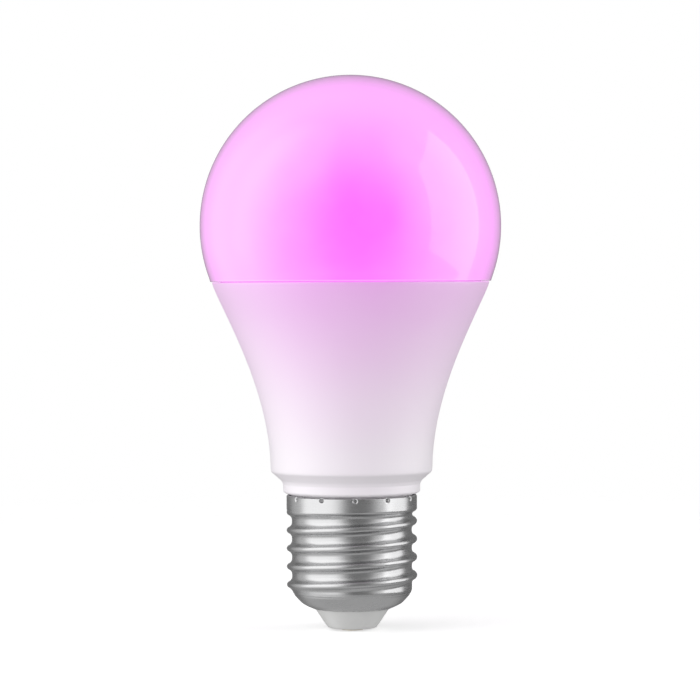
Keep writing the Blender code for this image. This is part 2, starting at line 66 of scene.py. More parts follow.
def top_of(node):
    return float(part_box(node)[1][2]) / MM


def wide(node):
    lo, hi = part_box(node)
    return float(hi[0] - lo[0]) / 2 / MM


# ------------------------------------------------------------ node materials


class Nodes:
    """A node tree, built up a node at a time."""

    def __init__(self, tree):
        self.tree = tree
        self._place = None

    def node(self, kind, **settings):
        made = self.tree.nodes.new(kind)
        for key, value in settings.items():
            setattr(made, key, value)
        return made

    def link(self, source, target):
        self.tree.links.new(source, target)

    def place(self):
        """Position on the object, in metres."""
        if self._place is None:
            self._place = self.node("ShaderNodeTexCoord").outputs["Object"]
        return self._place

    def scaled(self, x, y, z):
        """The position multiplied along each axis."""
        m = self.node("ShaderNodeMapping")
        m.inputs["Scale"].default_value = (x, y, z)
        self.link(self.place(), m.inputs["Vector"])
        return m.outputs["Vector"]

    def axis(self, name):
        s = self.node("ShaderNodeSeparateXYZ")
        self.link(self.place(), s.inputs[0])
        return s.outputs[name]

    def noise(self, scale, detail=3.0, rough=0.55, vector=None, distort=0.0):
        n = self.node("ShaderNodeTexNoise")
        n.inputs["Scale"].default_value = scale
        n.inputs["Detail"].default_value = detail
        n.inputs["Roughness"].default_value = rough
        n.inputs["Distortion"].default_value = distort
        self.link(vector or self.place(), n.inputs["Vector"])
        return n.outputs["Fac"]

    def voronoi(self, scale, feature="F1", vector=None, output="Distance"):
        n = self.node("ShaderNodeTexVoronoi", feature=feature)
        n.inputs["Scale"].default_value = scale
        self.link(vector or self.place(), n.inputs["Vector"])
        return n.outputs[output]

    def math(self, operation, a, b=None, c=None, clamp=False):
        n = self.node("ShaderNodeMath", operation=operation, use_clamp=clamp)
        for slot, value in enumerate((a, b, c)):
            if value is None:
                continue
            if isinstance(value, (int, float)):
                n.inputs[slot].default_value = value
            else:
                self.link(value, n.inputs[slot])
        return n.outputs[0]

    def ranged(self, value, low, high, to_low, to_high, smooth=False):
        n = self.node("ShaderNodeMapRange", interpolation_type="SMOOTHSTEP" if smooth else "LINEAR")
        n.inputs["From Min"].default_value = low
        n.inputs["From Max"].default_value = high
        n.inputs["To Min"].default_value = to_low
        n.inputs["To Max"].default_value = to_high
        self.link(value, n.inputs["Value"])
        return n.outputs["Result"]

    def ramp(self, value, stops, easing="LINEAR"):
        n = self.node("ShaderNodeValToRGB")
        n.color_ramp.interpolation = easing
        while len(n.color_ramp.elements) < len(stops):
            n.color_ramp.elements.new(0.5)
        for element, (at, colour) in zip(n.color_ramp.elements, stops):
            element.position = at
            element.color = (*colour, 1.0) if len(colour) == 3 else colour
        self.link(value, n.inputs["Fac"])
        return n.outputs["Color"]

    def mix(self, fac, a, b, blend="MIX"):
        n = self.node("ShaderNodeMix", data_type="RGBA", blend_type=blend)
        for slot, value in ((0, fac), (6, a), (7, b)):
            if isinstance(value, (int, float)):
                n.inputs[slot].default_value = value
            elif isinstance(value, tuple):
                n.inputs[slot].default_value = (*value, 1.0) if len(value) == 3 else value
            else:
                self.link(value, n.inputs[slot])
        return n.outputs[2]


class Paint(Nodes):
    """A material on a Principled shader."""

    def __init__(self, name):
        self.mat = bpy.data.materials.new(name)
        self.mat.use_nodes = True
        super().__init__(self.mat.node_tree)
        self.shader = self.tree.nodes["Principled BSDF"]

    def set(self, **values):
        for key, value in values.items():
            self.shader.inputs[key.replace("_", " ")].default_value = value
        return self

    def colour(self, output):
        self.link(output, self.shader.inputs["Base Color"])
        return self

    def roughness(self, output):
        self.link(output, self.shader.inputs["Roughness"])
        return self

    def bump(self, height, distance, strength=1.0, coat=False):
        """Height is 0 to 1, and distance is its depth in metres."""
        n = self.node("ShaderNodeBump")
        n.inputs["Strength"].default_value = strength
        n.inputs["Distance"].default_value = distance
        self.link(height, n.inputs["Height"])
        self.link(n.outputs["Normal"], self.shader.inputs["Normal"])
        if coat:
            self.link(n.outputs["Normal"], self.shader.inputs["Coat Normal"])
        return self


def painted_sheen_skin(p, share, rate, limb, tone, rough):
    """Lays a white satin skin over the material: a painted sheen, mixed in by the slant of the surface and stronger
    where the surface turns away.
    """
    skin = p.node("ShaderNodeBsdfPrincipled")
    skin.inputs["Base Color"].default_value = (*tone, 1.0)
    skin.inputs["Roughness"].default_value = rough
    for name in ("Coat Weight", "Coat Roughness", "IOR"):
        skin.inputs[name].default_value = p.shader.inputs[name].default_value
    for name in ("Normal", "Coat Normal"):
        for link in p.shader.inputs[name].links:
            p.link(link.from_socket, skin.inputs[name])
    # painted sheen: the share of white skin grows towards the outline
    slant = p.node("ShaderNodeLayerWeight")
    slant.inputs["Blend"].default_value = 0.5
    falling = p.math("EXPONENT", p.math("MULTIPLY", slant.outputs["Facing"], -rate))
    veil = p.math("MULTIPLY_ADD", falling, -share, share)
    veil = p.math("MULTIPLY_ADD", p.math("POWER", slant.outputs["Facing"], 4.0), limb, veil, clamp=True)
    mix = p.node("ShaderNodeMixShader")
    p.link(veil, mix.inputs[0])
    p.link(p.shader.outputs[0], mix.inputs[1])
    p.link(skin.outputs[0], mix.inputs[2])
    p.link(mix.outputs[0], p.tree.nodes["Material Output"].inputs["Surface"])
    return p


# ------------------------------------------------------------------- geometry


def write(name, verts, faces, paint, stands_for, flip=False, sharp=None):
    """A mesh piece from millimetre points. It rides on the bulb and stands for CAD nodes."""
    mesh = bpy.data.meshes.new(name)
    mesh.from_pydata([(x * MM, y * MM, z * MM) for x, y, z in verts], [], faces)
    mesh.validate()
    bm = bmesh.new()
    bm.from_mesh(mesh)
    bmesh.ops.recalc_face_normals(bm, faces=bm.faces[:])
    bm.to_mesh(mesh)
    bm.free()
    mesh.shade_smooth()
    if sharp:
        mesh.set_sharp_from_angle(angle=math.radians(sharp))
    obj = bpy.data.objects.new(name, mesh)
    scene.collection.objects.link(obj)
    mesh.materials.append(paint.mat)
    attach(obj, "root")
    if stands_for:
        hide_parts(*([stands_for] if isinstance(stands_for, str) else stands_for))
    return obj


def rounded(corners, step=12.0):
    """A closed profile of (radius, height[, fillet]) corners, with each fillet turned into an arc.

    A short straight is kept on both sides of each arc, so that smooth shading leaves the flats flat."""
    found = []
    n = len(corners)
    for k in range(n):
        p = Vector(corners[k][:2])
        rad = corners[k][2] if len(corners[k]) > 2 else 0.0
        a = Vector(corners[k - 1][:2]) - p
        b = Vector(corners[(k + 1) % n][:2]) - p
        if rad <= 0 or a.length < 1e-6 or b.length < 1e-6:
            found.append(tuple(p))
            continue
        ua, ub = a.normalized(), b.normalized()
        turn = math.pi - ua.angle(ub)
        if turn < 0.02:
            found.append(tuple(p))
            continue
        reach = rad * math.tan(turn / 2)
        limit = 0.45 * min(a.length, b.length)
        if reach > limit:
            reach = limit
            rad = reach / math.tan(turn / 2)
        start, stop = p + ua * reach, p + ub * reach
        centre = p + (ua + ub).normalized() * (rad / math.cos(turn / 2))
        pieces = max(2, math.ceil(math.degrees(turn) / step))
        guard = min(0.25 * rad, 0.3 * (limit / 0.45 - reach), 0.06)
        if guard > 0.004:
            found.append(tuple(start + ua * guard))
        va, vb = start - centre, stop - centre
        total = math.atan2(va.x * vb.y - va.y * vb.x, va.dot(vb))
        for i in range(pieces + 1):
            t = total * i / pieces
            c, s = math.cos(t), math.sin(t)
            found.append((centre.x + va.x * c - va.y * s, centre.y + va.x * s + va.y * c))
        if guard > 0.004:
            found.append(tuple(stop + ub * guard))
    return found


def spun(profile, segments=192):
    """Vertices and faces of a closed profile turned round the axis. A point on the axis becomes one vertex."""
    verts, faces, rings = [], [], []
    for r, z in profile:
        if r < 1e-6:
            rings.append([len(verts)] * segments)
            verts.append((0.0, 0.0, z))
        else:
            rings.append(list(range(len(verts), len(verts) + segments)))
            verts += [
                (r * math.cos(TAU * i / segments), r * math.sin(TAU * i / segments), z)
                for i in range(segments)
            ]
    for one, other in zip(rings, rings[1:] + rings[:1]):
        if one[0] == one[1] and other[0] == other[1]:
            continue
        for i in range(segments):
            k = (i + 1) % segments
            loop = []
            for v in (one[i], one[k], other[k], other[i]):
                if v not in loop:
                    loop.append(v)
            faces.append(loop)
    return verts, faces


def smooth(points, steps):
    """A smooth line through the points, with this many pieces in each stretch."""
    ends = [[2 * a - b for a, b in zip(points[0], points[1])], [2 * a - b for a, b in zip(points[-1], points[-2])]]
    p = [ends[0], *points, ends[1]]
    found = []
    for k in range(1, len(p) - 2):
        for i in range(steps):
            t = i / steps
            found.append(
                tuple(
                    0.5 * (2 * b + (c - a) * t + (2 * a - 5 * b + 4 * c - d) * t * t + (3 * b - a - 3 * c + d) * t**3)
                    for a, b, c, d in zip(*(p[k + j] for j in (-1, 0, 1, 2)))
                )
            )
    return found + [tuple(points[-1])]


def arc(cr, cz, radius, start, stop, steps):
    found = []
    for k in range(steps + 1):
        a = math.radians(start + (stop - start) * k / steps)
        found.append((cr + radius * math.cos(a), cz + radius * math.sin(a)))
    return found


# ------------------------------------------------------------------ dimensions

DOME_R = wide("diffuser")
DOME_TOP = top_of("diffuser")
DOME_Z = DOME_TOP - DOME_R
DOME_WALL = 1.2
JOINT_Z = 69.7
SKIRT_R = 25.9

SHOULDER = (27.7, 69.5, 15.5, 4.5)
FOOT = (16.2, 33.0, 1.3, 16.3)
HOUSING_WALL = 1.6

PITCH = 3.629
CREST_R = 13.05
ROOT_R = 12.0
CREST_Z = 9.11
COLLAR_TOP_Z = 27.08
COLLAR_EDGE_Z = 23.6
SHEET = 0.3


def flank(t):
    la, lb = math.radians(SHOULDER[2]), math.radians(FOOT[2])
    p0 = SHOULDER[:2]
    p1 = (SHOULDER[0] - SHOULDER[3] * math.sin(la), SHOULDER[1] - SHOULDER[3] * math.cos(la))
    p3 = FOOT[:2]
    p2 = (FOOT[0] + FOOT[3] * math.sin(lb), FOOT[1] + FOOT[3] * math.cos(lb))
    s = 1.0 - t
    return tuple(
        s**3 * a + 3 * s * s * t * b + 3 * s * t * t * c + t**3 * d for a, b, c, d in zip(p0, p1, p2, p3)
    )


def flank_radius(z):
    low, high = 0.0, 1.0
    for _ in range(50):
        mid = (low + high) / 2
        if flank(mid)[1] > z:
            low = mid
        else:
            high = mid
    return flank(low)[0]


# --------------------------------------------------------- the opal diffuser


def opal():
    p = Paint("opal_diffuser_lit")
    height = p.axis("Z")
    # painted light: the white moulded body is given the magenta of the light behind it as its colour, a little paler
    # towards the crown
    grain = p.noise(900.0, 2.0)
    cloud = p.noise(55.0, 3.0, 0.5)
    soft = p.ranged(cloud, 0.3, 0.7, 0.0, 1.0)
    up = p.ranged(height, 0.069, 0.111, 0.0, 1.0)
    # the lip that sits in the housing is thick and lets less light out
    body = p.ramp(up, [(0.0, (0.80, 0.30, 0.80)), (0.019, (0.80, 0.26, 0.80)), (0.024, (0.80, 0.08, 0.80)), (0.35, (0.80, 0.062, 0.80)), (0.75, (0.80, 0.062, 0.80)), (0.87, (0.80, 0.095, 0.80)), (1.0, (0.80, 0.125, 0.80))])
    p.colour(p.mix(soft, body, p.mix(0.05, body, (1.0, 0.9, 1.0))))
    glow = p.ramp(up, [(0.0, (0.72, 0.14, 0.72)), (0.019, (0.78, 0.12, 0.78)), (0.024, (1.0, 0.043, 1.0)), (0.35, (1.0, 0.036, 1.0)), (0.75, (1.0, 0.030, 0.99)), (0.87, (1.0, 0.064, 0.985)), (1.0, (0.99, 0.098, 0.98))])
    p.link(p.mix(soft, glow, p.mix(0.03, glow, (1.0, 1.0, 1.0))), p.shader.inputs["Emission Color"])
    p.roughness(p.ranged(cloud, 0.3, 0.7, 0.42, 0.50))
    p.set(Emission_Strength=1.05, Coat_Weight=1.0, Coat_Roughness=0.06, IOR=1.49)
    p.bump(grain, 0.000006)
    # painted sheen: the dome turns from deep magenta in its middle to pale pink at its outline
    return painted_sheen_skin(p, 0.62, 4.2, 0.25, (0.90, 0.77, 0.90), 0.45)


def diffuser():
    edge = lambda radius, z: math.degrees(math.asin((z - DOME_Z) / radius))
    inner = DOME_R - DOME_WALL
    outer_line = arc(0, DOME_Z, DOME_R, edge(DOME_R, JOINT_Z + 0.22), 90, 88)
    outer_line[-1] = (0.0, DOME_TOP)
    inner_line = arc(0, DOME_Z, inner, 90, edge(inner, JOINT_Z + 1.3), 56)
    inner_line[0] = (0.0, DOME_Z + inner)
    lip_r = outer_line[0][0]
    lower = rounded(
        [
            (SKIRT_R - 0.95, JOINT_Z + 0.45, 0.3),
            (SKIRT_R - 0.95, JOINT_Z - 1.9, 0.15),
            (SKIRT_R, JOINT_Z - 1.9, 0.15),
            (SKIRT_R + 0.15, JOINT_Z + 0.02, 0.08),
            (lip_r - 0.02, JOINT_Z + 0.02, 0.17),
            (outer_line[1][0], outer_line[1][1]),
            (inner_line[-1][0], inner_line[-1][1]),
        ],
        15,
    )[:-2]
    verts, faces = spun(lower + outer_line[1:] + inner_line, 192)
    return write("diffuser_dome", verts, faces, opal(), "diffuser")


# ----------------------------------------------------------------- housing


def housing_paint():
    p = Paint("satin_white_housing")
    height = p.axis("Z")
    cloud = p.noise(70.0, 3.0, 0.5)
    grain = p.noise(1400.0, 3.0, 0.6)
    pores = p.voronoi(1500.0)
    # painted light: the base colour turns pink towards the rim, for the light from the board that bleeds through the
    # thin wall
    painted_glow_tint = p.ramp(
        p.ranged(height, 0.027, 0.0697, 0.0, 1.0),
        [
            (0.0, (0.825, 0.787, 0.83)),
            (0.21, (0.83, 0.758, 0.835)),
            (0.445, (0.85, 0.682, 0.855)),
            (0.68, (0.86, 0.565, 0.865)),
            (0.86, (0.86, 0.465, 0.87)),
            (1.0, (0.86, 0.41, 0.87)),
        ],
    )
    p.colour(p.mix(p.ranged(cloud, 0.35, 0.65, 0.0, 0.05), painted_glow_tint, (0.93, 0.90, 0.93)))
    p.roughness(p.ranged(cloud, 0.3, 0.7, 0.40, 0.48))
    p.set(IOR=1.46)
    skin = p.math("ADD", p.math("MULTIPLY", grain, 0.6), p.math("MULTIPLY", pores, 0.4))
    p.bump(skin, 0.000008)
    # painted sheen: the housing turns paler towards its outline
    return painted_sheen_skin(p, 0.45, 2.8, 0.0, (0.88, 0.86, 0.88), 0.42)


def housing():
    outer = [flank(k / 72) for k in range(1, 73)]
    shoulder = flank(1 / 72)
    rim_z = SHOULDER[1] + 0.12
    rim = rounded(
        [
            (SKIRT_R + 0.35, rim_z, 0.1),
            (SHOULDER[0] - 0.02, rim_z, 0.22),
            (shoulder[0], shoulder[1]),
            (SKIRT_R + 0.35, 68.0),
        ],
        12,
    )
    rim = rim[:-2]
    foot = rounded(
        [
            (16.18, 32.4, 0.0),
            (16.10, 31.75, 1.6),
            (14.05, 29.95, 1.1),
            (13.72, 29.3, 0.35),
            (13.72, 27.75, 0.45),
            (13.15, 27.4, 0.2),
            (12.1, 27.4, 0.05),
            (12.1, 23.9, 0.2),
            (11.35, 23.3, 0.2),
            (11.35, 9.9, 0.1),
            (11.05, 9.5, 0.1),
            (10.2, 9.5, 0.1),
            (10.2, 31.0, 0.2),
        ],
        11,
    )
    inside = [(flank_radius(33.2) - HOUSING_WALL, 31.0)]
    inside += [(flank_radius(z) - HOUSING_WALL, z) for z in [33.2 + 33.2 * k / 30 for k in range(31)]]
    pocket = rounded([(SKIRT_R - 1.2, 66.4), (SKIRT_R + 0.05, 66.55, 0.1), (SKIRT_R + 0.2, 67.2, 0.1), (SKIRT_R + 0.33, rim_z - 0.3)], 20)[1:]
    verts, faces = spun(rim + outer + foot + inside + pocket, 192)
    return write("housing_shell", verts, faces, housing_paint(), "housing")


# ------------------------------------------------------------- screw shell


def fade(x):
    x = min(1.0, max(0.0, x))
    return x * x * (3 - 2 * x)


BEAD_TOP = 0.65  # radius of the crest's round top
BEAD_FILLET = 1.10  # radius of the hollow between two crests
COLLAR_SHOULDER_Z = 24.42  # where the collar starts to curve in


def bead(x):
    """Height over the root, in millimetres, at a distance x up or down from a crest: a round top, then a hollow."""
    x = abs(x)
    height = CREST_R - ROOT_R
    reach = BEAD_TOP + BEAD_FILLET
    drop = height - reach
    foot = math.sqrt(reach * reach - drop * drop)
    meet = foot * BEAD_TOP / reach
    if x <= meet:
        return height - BEAD_TOP + math.sqrt(BEAD_TOP**2 - x * x)
    if x < foot:
        return BEAD_FILLET - math.sqrt(BEAD_FILLET**2 - (foot - x) ** 2)
    return 0.0


def shell_radius(angle, z):
    """Outer radius of the screw shell at one angle and height, below the collar's straight part."""
    turn = (z - CREST_Z) / PITCH - (angle - math.pi) / TAU
    along = round(turn) + (angle - math.pi) / TAU
    run_in = fade((along + 0.52) / 0.47)
    root = ROOT_R - 0.22 * fade((8.3 - z) / 1.0)
    crest = bead((turn - round(turn)) * PITCH) * run_in
    shoulder = bead(min(0.0, z - COLLAR_SHOULDER_Z))
    # where a crest runs up into the collar the two blend over a short hollow
    high, low = max(crest, shoulder), min(crest, shoulder)
    soft = 0.25
    blend = max(0.0, soft - (high - low)) ** 2 / (4 * soft) if low > 0.02 else 0.0
    return min(CREST_R, root + high + blend)


PUNCHES = [math.radians(-90 + 2.8 + 30 * k) for k in range(12)]


def punch(angle, z):
    """How far one of the locking punches presses the collar in, in millimetres."""
    depth = 0.0
    for at in PUNCHES:
        d = (angle - at + math.pi) % TAU - math.pi
        if abs(d) > 0.12:
            continue
        x = d * CREST_R / 0.36
        y = (z - (COLLAR_TOP_Z - 0.52)) / 0.38
        q = x * x + y * y
        if q < 6:
            depth = max(depth, 0.58 * math.exp(-(q**1.3) * 1.3))
    return depth


def columns():
    """Angles of the mesh columns: close together at the punches."""
    angles = []
    sector = TAU / 12
    for at in PUNCHES:
        near = [math.radians(a) for a in np.arange(-3.0, 3.01, 0.5)]
        far = [math.radians(a) for a in np.linspace(3.0, 27.0, 15)[1:-1]]
        angles += [at + a for a in near + far]
    return sorted(a % TAU for a in angles)


def screw_shell():
    angles = columns()
    count = len(angles)
    verts, faces = [], []

    def ring(radius_at, height_at):
        start = len(verts)
        for i, a in enumerate(angles):
            z = height_at(i)
            r = radius_at(a, z)
            verts.append((r * math.cos(a), r * math.sin(a), z))
        return list(range(start, start + count))

    def surface(per_pitch, offset):
        """Rings from the top edge down. Rows in the thread follow the helix."""
        step = PITCH / per_pitch
        low_z, high_z = 7.45, COLLAR_EDGE_Z
        base = CREST_Z - step * math.floor((CREST_Z - low_z) / step)
        rows = int((high_z - base) / step)
        top = COLLAR_TOP_Z

        def collar_radius(a, z):
            lip = 0.20 * fade((z - (top - 0.34)) / 0.34) ** 2
            return CREST_R - lip - punch(a, z) - offset

        made = []
        fine = [top, top - 0.03, top - 0.08] + [top - 0.14 - 0.09 * k for k in range(14)]
        rest = [25.6, 25.2, 24.8, 24.5]
        for z in fine + rest:
            made.append((ring(collar_radius, lambda i, z=z: z), False))
        edge = [COLLAR_SHOULDER_Z - 0.06 * k for k in range(14)]
        for z in edge:
            made.append((ring(lambda a, h: shell_radius(a, h) - offset, lambda i, z=z: z), False))

        def rise(a):
            along = per_pitch * (a / TAU - 0.5)
            return (along - math.floor(along)) * step

        for j in range(rows - 1, 0, -1):
            made.append(
                (ring(lambda a, h: shell_radius(a, h) - offset, lambda i, j=j: base + j * step + rise(angles[i])), per_pitch)
            )
        made.append((ring(lambda a, h: shell_radius(a, h) - offset, lambda i: base), False))
        return made

    def skin(made):
        for (upper, hu), (lower, hl) in zip(made, made[1:]):
            for i in range(count):
                k = (i + 1) % count
                a, b, c, d = upper[i], upper[k], lower[k], lower[i]
                jump = 0
                if hu and hl:
                    here, there = angles[i], angles[k] if k else angles[k] + TAU
                    jump = math.floor(hu * (there / TAU - 0.5)) - math.floor(hu * (here / TAU - 0.5))
                if jump:
                    faces.extend([(a, d, b), (b, d, c)])
                else:
                    faces.append((a, d, c, b))

    outside = surface(36, 0.0)
    inside = surface(12, SHEET + 0.02)
    # the cone below the thread, and the edge turned in round the insulator
    outer_low = smooth([(11.72, 7.5), (11.50, 7.02), (10.95, 6.38), (9.98, 5.42), (8.88, 4.80), (8.0, 4.42)], 5)[1:]
    outer_low += [(7.80, 4.33), (7.71, 4.32), (7.68, 4.40), (7.70, 4.52)]
    for r, z in outer_low:
        outside.append((ring(lambda a, h, r=r: r, lambda i, z=z: z), False))
    for r, z in [(11.2, 7.15), (10.9, 6.85), (10.3, 6.25), (9.75, 5.7), (9.2, 5.32), (8.6, 5.0), (8.1, 4.75), (7.8, 4.62)]:
        inside.append((ring(lambda a, h, r=r: r, lambda i, z=z: z), False))
    skin(outside)
    skin(inside)
    for one, other in ((outside[0][0], inside[0][0]), (outside[-1][0], inside[-1][0])):
        for i in range(count):
            k = (i + 1) % count
            faces.append((one[i], one[k], other[k], other[i]))
    return write("screw_shell_rolled", verts, faces, nickel(), "screw_shell")


def nickel():
    p = Paint("nickel_plated_shell")
    cloud = p.noise(240.0, 4.0, 0.6)
    grain = p.noise(2600.0, 2.0, 0.6)
    # drawing lines run round the shell, so the pattern is stretched across the height
    lines = p.noise(1.0, 3.0, 0.65, p.scaled(220.0, 220.0, 5200.0))
    tone = p.ramp(p.math("ADD", p.math("MULTIPLY", cloud, 0.6), p.math("MULTIPLY", lines, 0.4)), [(0.30, (0.53, 0.53, 0.535)), (0.70, (0.59, 0.59, 0.595))])
    p.colour(tone)
    p.roughness(p.ranged(p.math("ADD", p.math("MULTIPLY", cloud, 0.5), p.math("MULTIPLY", lines, 0.5)), 0.3, 0.7, 0.22, 0.34))
    p.set(Metallic=1.0)
    p.bump(p.math("ADD", p.math("MULTIPLY", grain, 0.4), p.math("MULTIPLY", lines, 0.6)), 0.0000016)
    return p


# ----------------------------------------------- insulator and centre contact


def insulator():
    p = Paint("grey_insulator")
    cloud = p.noise(180.0, 3.0, 0.55)
    grain = p.noise(1500.0, 3.0, 0.6)
    p.colour(p.ramp(cloud, [(0.3, (0.60, 0.60, 0.595)), (0.7, (0.66, 0.66, 0.655))]))
    p.roughness(p.ranged(cloud, 0.3, 0.7, 0.40, 0.52))
    p.set(IOR=1.5)
    p.bump(grain, 0.000010)
    profile = rounded(
        [
            (1.25, 0.40, 0.05),
            (4.75, 0.40, 0.75),
            (5.25, 1.0, 0.5),
            (7.45, 4.3, 0.3),
            (7.45, 4.95, 0.1),
            (8.9, 5.75, 0.1),
            (9.0, 6.5, 0.2),
            (8.6, 7.0, 0.2),
            (1.25, 7.0, 0.05),
        ],
        10,
    )
    verts, faces = spun(profile, 160)
    return write("insulator_cone", verts, faces, p, "base_insulator")


def contact():
    p = Paint("tinned_contact")
    cloud = p.noise(420.0, 4.0, 0.6)
    rings = p.noise(1.0, 2.0, 0.6, p.scaled(900.0, 900.0, 4000.0))
    p.colour(p.ramp(cloud, [(0.3, (0.68, 0.60, 0.44)), (0.7, (0.80, 0.74, 0.60))]))
    p.roughness(p.ranged(cloud, 0.3, 0.7, 0.26, 0.42))
    p.set(Metallic=1.0)
    p.bump(rings, 0.000008)
    profile = rounded(
        [
            (0.0, 0.0),
            (2.3, 0.0, 0.18),
            (2.3, 0.35, 0.08),
            (1.0, 0.35, 0.05),
            (1.0, 5.2, 0.15),
            (0.0, 5.2),
        ],
        12,
    )
    verts, faces = spun(profile, 96)
    return write("contact_rivet", verts, faces, p, "centre_contact")


diffuser()
housing()
screw_shell()
insulator()
contact()

# ------------------------------------------------------- pieces kept from CAD


def finish_for(name, dark, light, rough=(0.4, 0.55), metal=0.0, scale=300.0, grain=1500.0, depth=0.000012, stretch=None, **more):
    """A procedural finish with cloudy tone, uneven gloss and a fine grain."""
    p = Paint(name)
    where = p.scaled(*stretch) if stretch else None
    cloud = p.noise(1.0 if stretch else scale, 3.0, 0.55, where)
    fine = p.noise(grain, 3.0, 0.6)
    p.colour(p.ramp(cloud, [(0.3, dark), (0.7, light)]))
    p.roughness(p.ranged(p.math("ADD", p.math("MULTIPLY", cloud, 0.6), p.math("MULTIPLY", fine, 0.4)), 0.3, 0.7, *rough))
    p.set(Metallic=metal, **more)
    p.bump(fine, depth)
    return p.mat


FINISH = {
    "silicone": finish_for("silicone_bead", (0.80, 0.80, 0.78), (0.90, 0.90, 0.88), (0.35, 0.5), scale=400),
    "aluminium": finish_for("drawn_aluminium", (0.62, 0.63, 0.65), (0.76, 0.77, 0.78), (0.28, 0.42), 1.0, stretch=(120, 120, 2500), depth=0.000006),
    "thermal_pad": finish_for("thermal_pad_grey", (0.50, 0.52, 0.56), (0.62, 0.64, 0.68), (0.7, 0.85), scale=500),
    "white_board": finish_for("board_white_mask", (0.82, 0.82, 0.80), (0.88, 0.88, 0.86), (0.32, 0.42), scale=160, grain=2500, depth=0.000005),
    "phosphor": finish_for("led_phosphor", (0.86, 0.70, 0.20), (0.93, 0.80, 0.32), (0.35, 0.5), scale=1500, grain=6000, depth=0.000004),
    "clear_led": finish_for("led_clear_gel", (0.78, 0.78, 0.78), (0.90, 0.90, 0.89), (0.15, 0.3), scale=1200, grain=5000, depth=0.000003),
    "steel": finish_for("zinc_steel", (0.56, 0.56, 0.57), (0.70, 0.70, 0.70), (0.25, 0.4), 1.0, scale=600, grain=3000, depth=0.000006),
    "green_board": finish_for("board_green_mask", (0.02, 0.16, 0.07), (0.04, 0.24, 0.11), (0.28, 0.4), scale=220, grain=2600, depth=0.000006),
    "blue_board": finish_for("board_blue_mask", (0.02, 0.06, 0.24), (0.04, 0.10, 0.34), (0.28, 0.4), scale=220, grain=2600, depth=0.000006),
    "black_sleeve": finish_for("black_shrink_sleeve", (0.02, 0.02, 0.022), (0.045, 0.045, 0.05), (0.3, 0.45), scale=260, grain=1800, depth=0.000010),
    "ferrite": finish_for("sintered_ferrite", (0.045, 0.045, 0.05), (0.10, 0.10, 0.105), (0.6, 0.8), scale=700, grain=2600, depth=0.000025),
    "winding_tape": finish_for("polyester_tape", (0.70, 0.50, 0.05), (0.82, 0.63, 0.12), (0.22, 0.36), stretch=(60, 60, 900), depth=0.000008),
    "copper": finish_for("enamelled_copper", (0.55, 0.22, 0.09), (0.74, 0.36, 0.17), (0.22, 0.38), 1.0, stretch=(80, 80, 5200), grain=3000, depth=0.000030),
    "black_epoxy": finish_for("moulded_epoxy", (0.018, 0.018, 0.02), (0.04, 0.04, 0.042), (0.45, 0.6), scale=700, grain=3500, depth=0.000010),
    "resistor_body": finish_for("cement_coat", (0.28, 0.46, 0.40), (0.40, 0.58, 0.50), (0.5, 0.65), scale=900, grain=3500, depth=0.000020),
    "film_body": finish_for("dipped_ochre", (0.44, 0.27, 0.05), (0.60, 0.40, 0.10), (0.28, 0.42), scale=500, grain=2200, depth=0.000012),
    "varistor_body": finish_for("dipped_blue", (0.06, 0.16, 0.40), (0.11, 0.26, 0.55), (0.34, 0.5), scale=600, grain=2500, depth=0.000015),
    "gold_pin": finish_for("gold_flash", (0.75, 0.54, 0.20), (0.88, 0.68, 0.32), (0.2, 0.34), 1.0, scale=1500, grain=5000, depth=0.000003),
    "ceramic_part": finish_for("fired_ceramic", (0.78, 0.76, 0.70), (0.86, 0.85, 0.80), (0.35, 0.5), scale=900, grain=4000, depth=0.000006),
    "red_lead": finish_for("lead_red", (0.50, 0.04, 0.035), (0.64, 0.08, 0.06), (0.4, 0.55), scale=900, grain=3500, depth=0.000008),
    "black_lead": finish_for("lead_black", (0.03, 0.03, 0.033), (0.065, 0.065, 0.07), (0.4, 0.55), scale=900, grain=3500, depth=0.000008),
}
SLOT_OF = {row["node"]: row["material_slot"] for row in frame["record"]["subparts"]}
REBUILT = {"diffuser", "housing", "screw_shell", "base_insulator", "centre_contact"}
for name, obj in nodes.items():
    if name in REBUILT:
        continue
    finish = FINISH[SLOT_OF[name]]
    if not obj.material_slots:
        obj.data.materials.append(finish)
    for held in obj.material_slots:
        held.material = finish

# ----------------------------------------------------------------- the stage


def stage_floor():
    """A pale round table top whose paint thins out towards its edge, into the white behind."""
    rings = [0.0, 0.01, 0.02, 0.04, 0.07, 0.11, 0.16, 0.22, 0.29, 0.37, 0.46]
    bm = bmesh.new()
    rows = []
    for r in rings:
        if r == 0.0:
            rows.append([bm.verts.new((0, 0, 0))])
        else:
            rows.append([bm.verts.new((r * math.cos(TAU * i / 96), r * math.sin(TAU * i / 96), 0)) for i in range(96)])
    for one, other in zip(rows, rows[1:]):
        for i in range(96):
            k = (i + 1) % 96
            if len(one) == 1:
                bm.faces.new((one[0], other[i], other[k]))
            else:
                bm.faces.new((one[i], other[i], other[k], one[k]))
    mesh = bpy.data.meshes.new("studio_floor")
    bm.to_mesh(mesh)
    bm.free()
    obj = bpy.data.objects.new("studio_floor", mesh)
    scene.collection.objects.link(obj)
    p = Paint("studio_floor_paint")
    p.colour(p.ramp(p.noise(3.0, 2.0), [(0.3, (0.90, 0.90, 0.90)), (0.7, (0.92, 0.92, 0.92))]))
    p.set(Roughness=0.9, Specular_IOR_Level=0.1, Emission_Color=(1, 1, 1, 1), Emission_Strength=FLOOR_GLOW)
    far = p.node("ShaderNodeVectorMath", operation="LENGTH")
    p.link(p.place(), far.inputs[0])
    p.link(p.ranged(far.outputs["Value"], 0.10, 0.42, 1.0, 0.0, True), p.shader.inputs["Alpha"])
    mesh.materials.append(p.mat)
    obj.visible_glossy = False
    obj.visible_diffuse = False
    return obj


